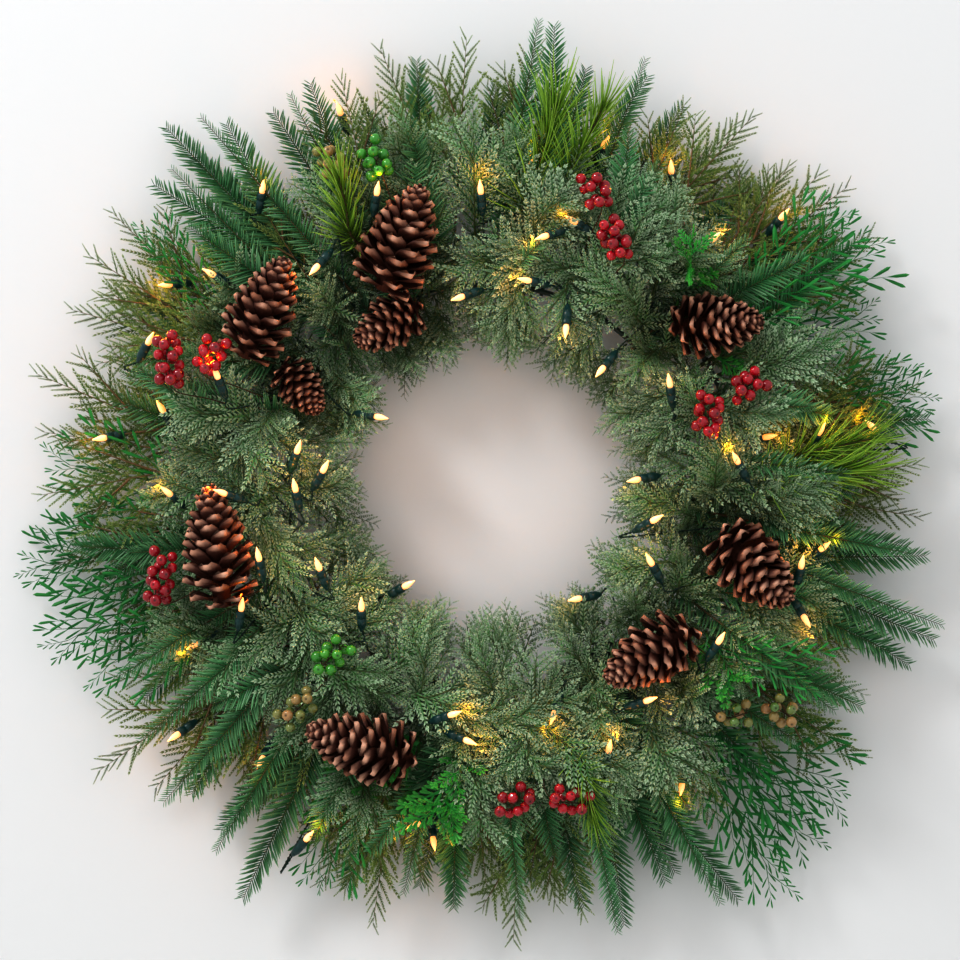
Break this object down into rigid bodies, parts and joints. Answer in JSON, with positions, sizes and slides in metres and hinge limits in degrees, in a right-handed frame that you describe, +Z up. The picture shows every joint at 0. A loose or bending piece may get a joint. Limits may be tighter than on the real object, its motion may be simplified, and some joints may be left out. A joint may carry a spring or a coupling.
{
  "type": "mixed evergreen wreath",
  "caption": "Round pre-lit evergreen wreath of moulded sprays, pine cones and berry picks on a double wire ring, with a loop at the top to hang it by.",
  "frame": {"origin": "the underside of the top of the wire hanging loop, where a wall hook carries the wreath", "axes": "+X right and +Z up along the wall as the viewer faces the wreath, +Y into the wall, so the wreath faces -Y"},
  "size_m": [0.8564, 0.1421, 0.86],
  "materials": {
    "ring_frame": "green enamelled steel wire, satin",
    "battery_box": "dark green moulded ABS, matt",
    "light_wire": "green PVC wire and sockets with clear bulbs",
    "pine_cone": "natural dried cone, brown with paler scale tips",
    "red_berries": "lacquered foam berry, glossy crimson",
    "green_berries": "lacquered foam berry, bright green",
    "mixed_berries": "lacquered foam berry, olive green blushed with red brown",
    "cedar": "moulded polyethylene foliage, grey green with a pale bloom",
    "cypress": "moulded polyethylene foliage, olive green on brown twigs",
    "fir": "moulded polyethylene foliage, dark green with a paler rib",
    "yew": "moulded polyethylene foliage, bright mid green",
    "pine_needles": "soft plastic needles, yellow green",
    "arborvitae": "moulded polyethylene foliage, vivid green"
  },
  "bodies": {
    "root": {"ring_frame": "ring_frame", "battery_box": "battery_box", "pine_cone_1": "pine_cone", "pine_cone_2": "pine_cone", "pine_cone_3": "pine_cone", "pine_cone_4": "pine_cone", "pine_cone_5": "pine_cone", "pine_cone_6": "pine_cone", "pine_cone_7": "pine_cone", "pine_cone_8": "pine_cone", "pine_cone_9": "pine_cone", "red_berries_1": "red_berries", "red_berries_2": "red_berries", "red_berries_3": "red_berries", "red_berries_4": "red_berries", "red_berries_5": "red_berries", "mixed_berries_1": "mixed_berries", "mixed_berries_2": "mixed_berries", "mixed_berries_3": "mixed_berries", "green_berries_1": "green_berries", "green_berries_2": "green_berries", "light_string": "light_wire", "arborvitae_accent_1": "arborvitae", "arborvitae_accent_2": "arborvitae", "pine_tuft_1": "pine_needles", "pine_tuft_2": "pine_needles", "pine_tuft_3": "pine_needles", "fir_bough_1": "fir", "cypress_bough_2": "cypress", "cypress_bough_3": "cypress", "yew_bough_4": "yew", "cypress_bough_5": "cypress", "cypress_bough_6": "cypress", "fir_bough_7": "fir", "cedar_bough_8": "cedar", "yew_bough_9": "yew", "fir_bough_10": "fir", "cypress_bough_11": "cypress", "fir_bough_12": "fir", "cypress_bough_13": "cypress", "fir_bough_14": "fir", "cypress_bough_15": "cypress", "yew_bough_16": "yew", "cypress_bough_17": "cypress", "cypress_bough_18": "cypress", "fir_bough_19": "fir", "fir_bough_20": "fir", "cypress_bough_21": "cypress", "cedar_front_1": "cedar", "cedar_front_2": "cedar", "cedar_front_3": "cedar", "cedar_front_4": "cedar", "cedar_front_5": "cedar", "cedar_front_6": "cedar", "cedar_front_7": "cedar", "cedar_front_8": "cedar", "cedar_front_9": "cedar", "cedar_front_10": "cedar", "cedar_front_11": "cedar", "cedar_front_12": "cedar"}
  },
  "joints": []
}
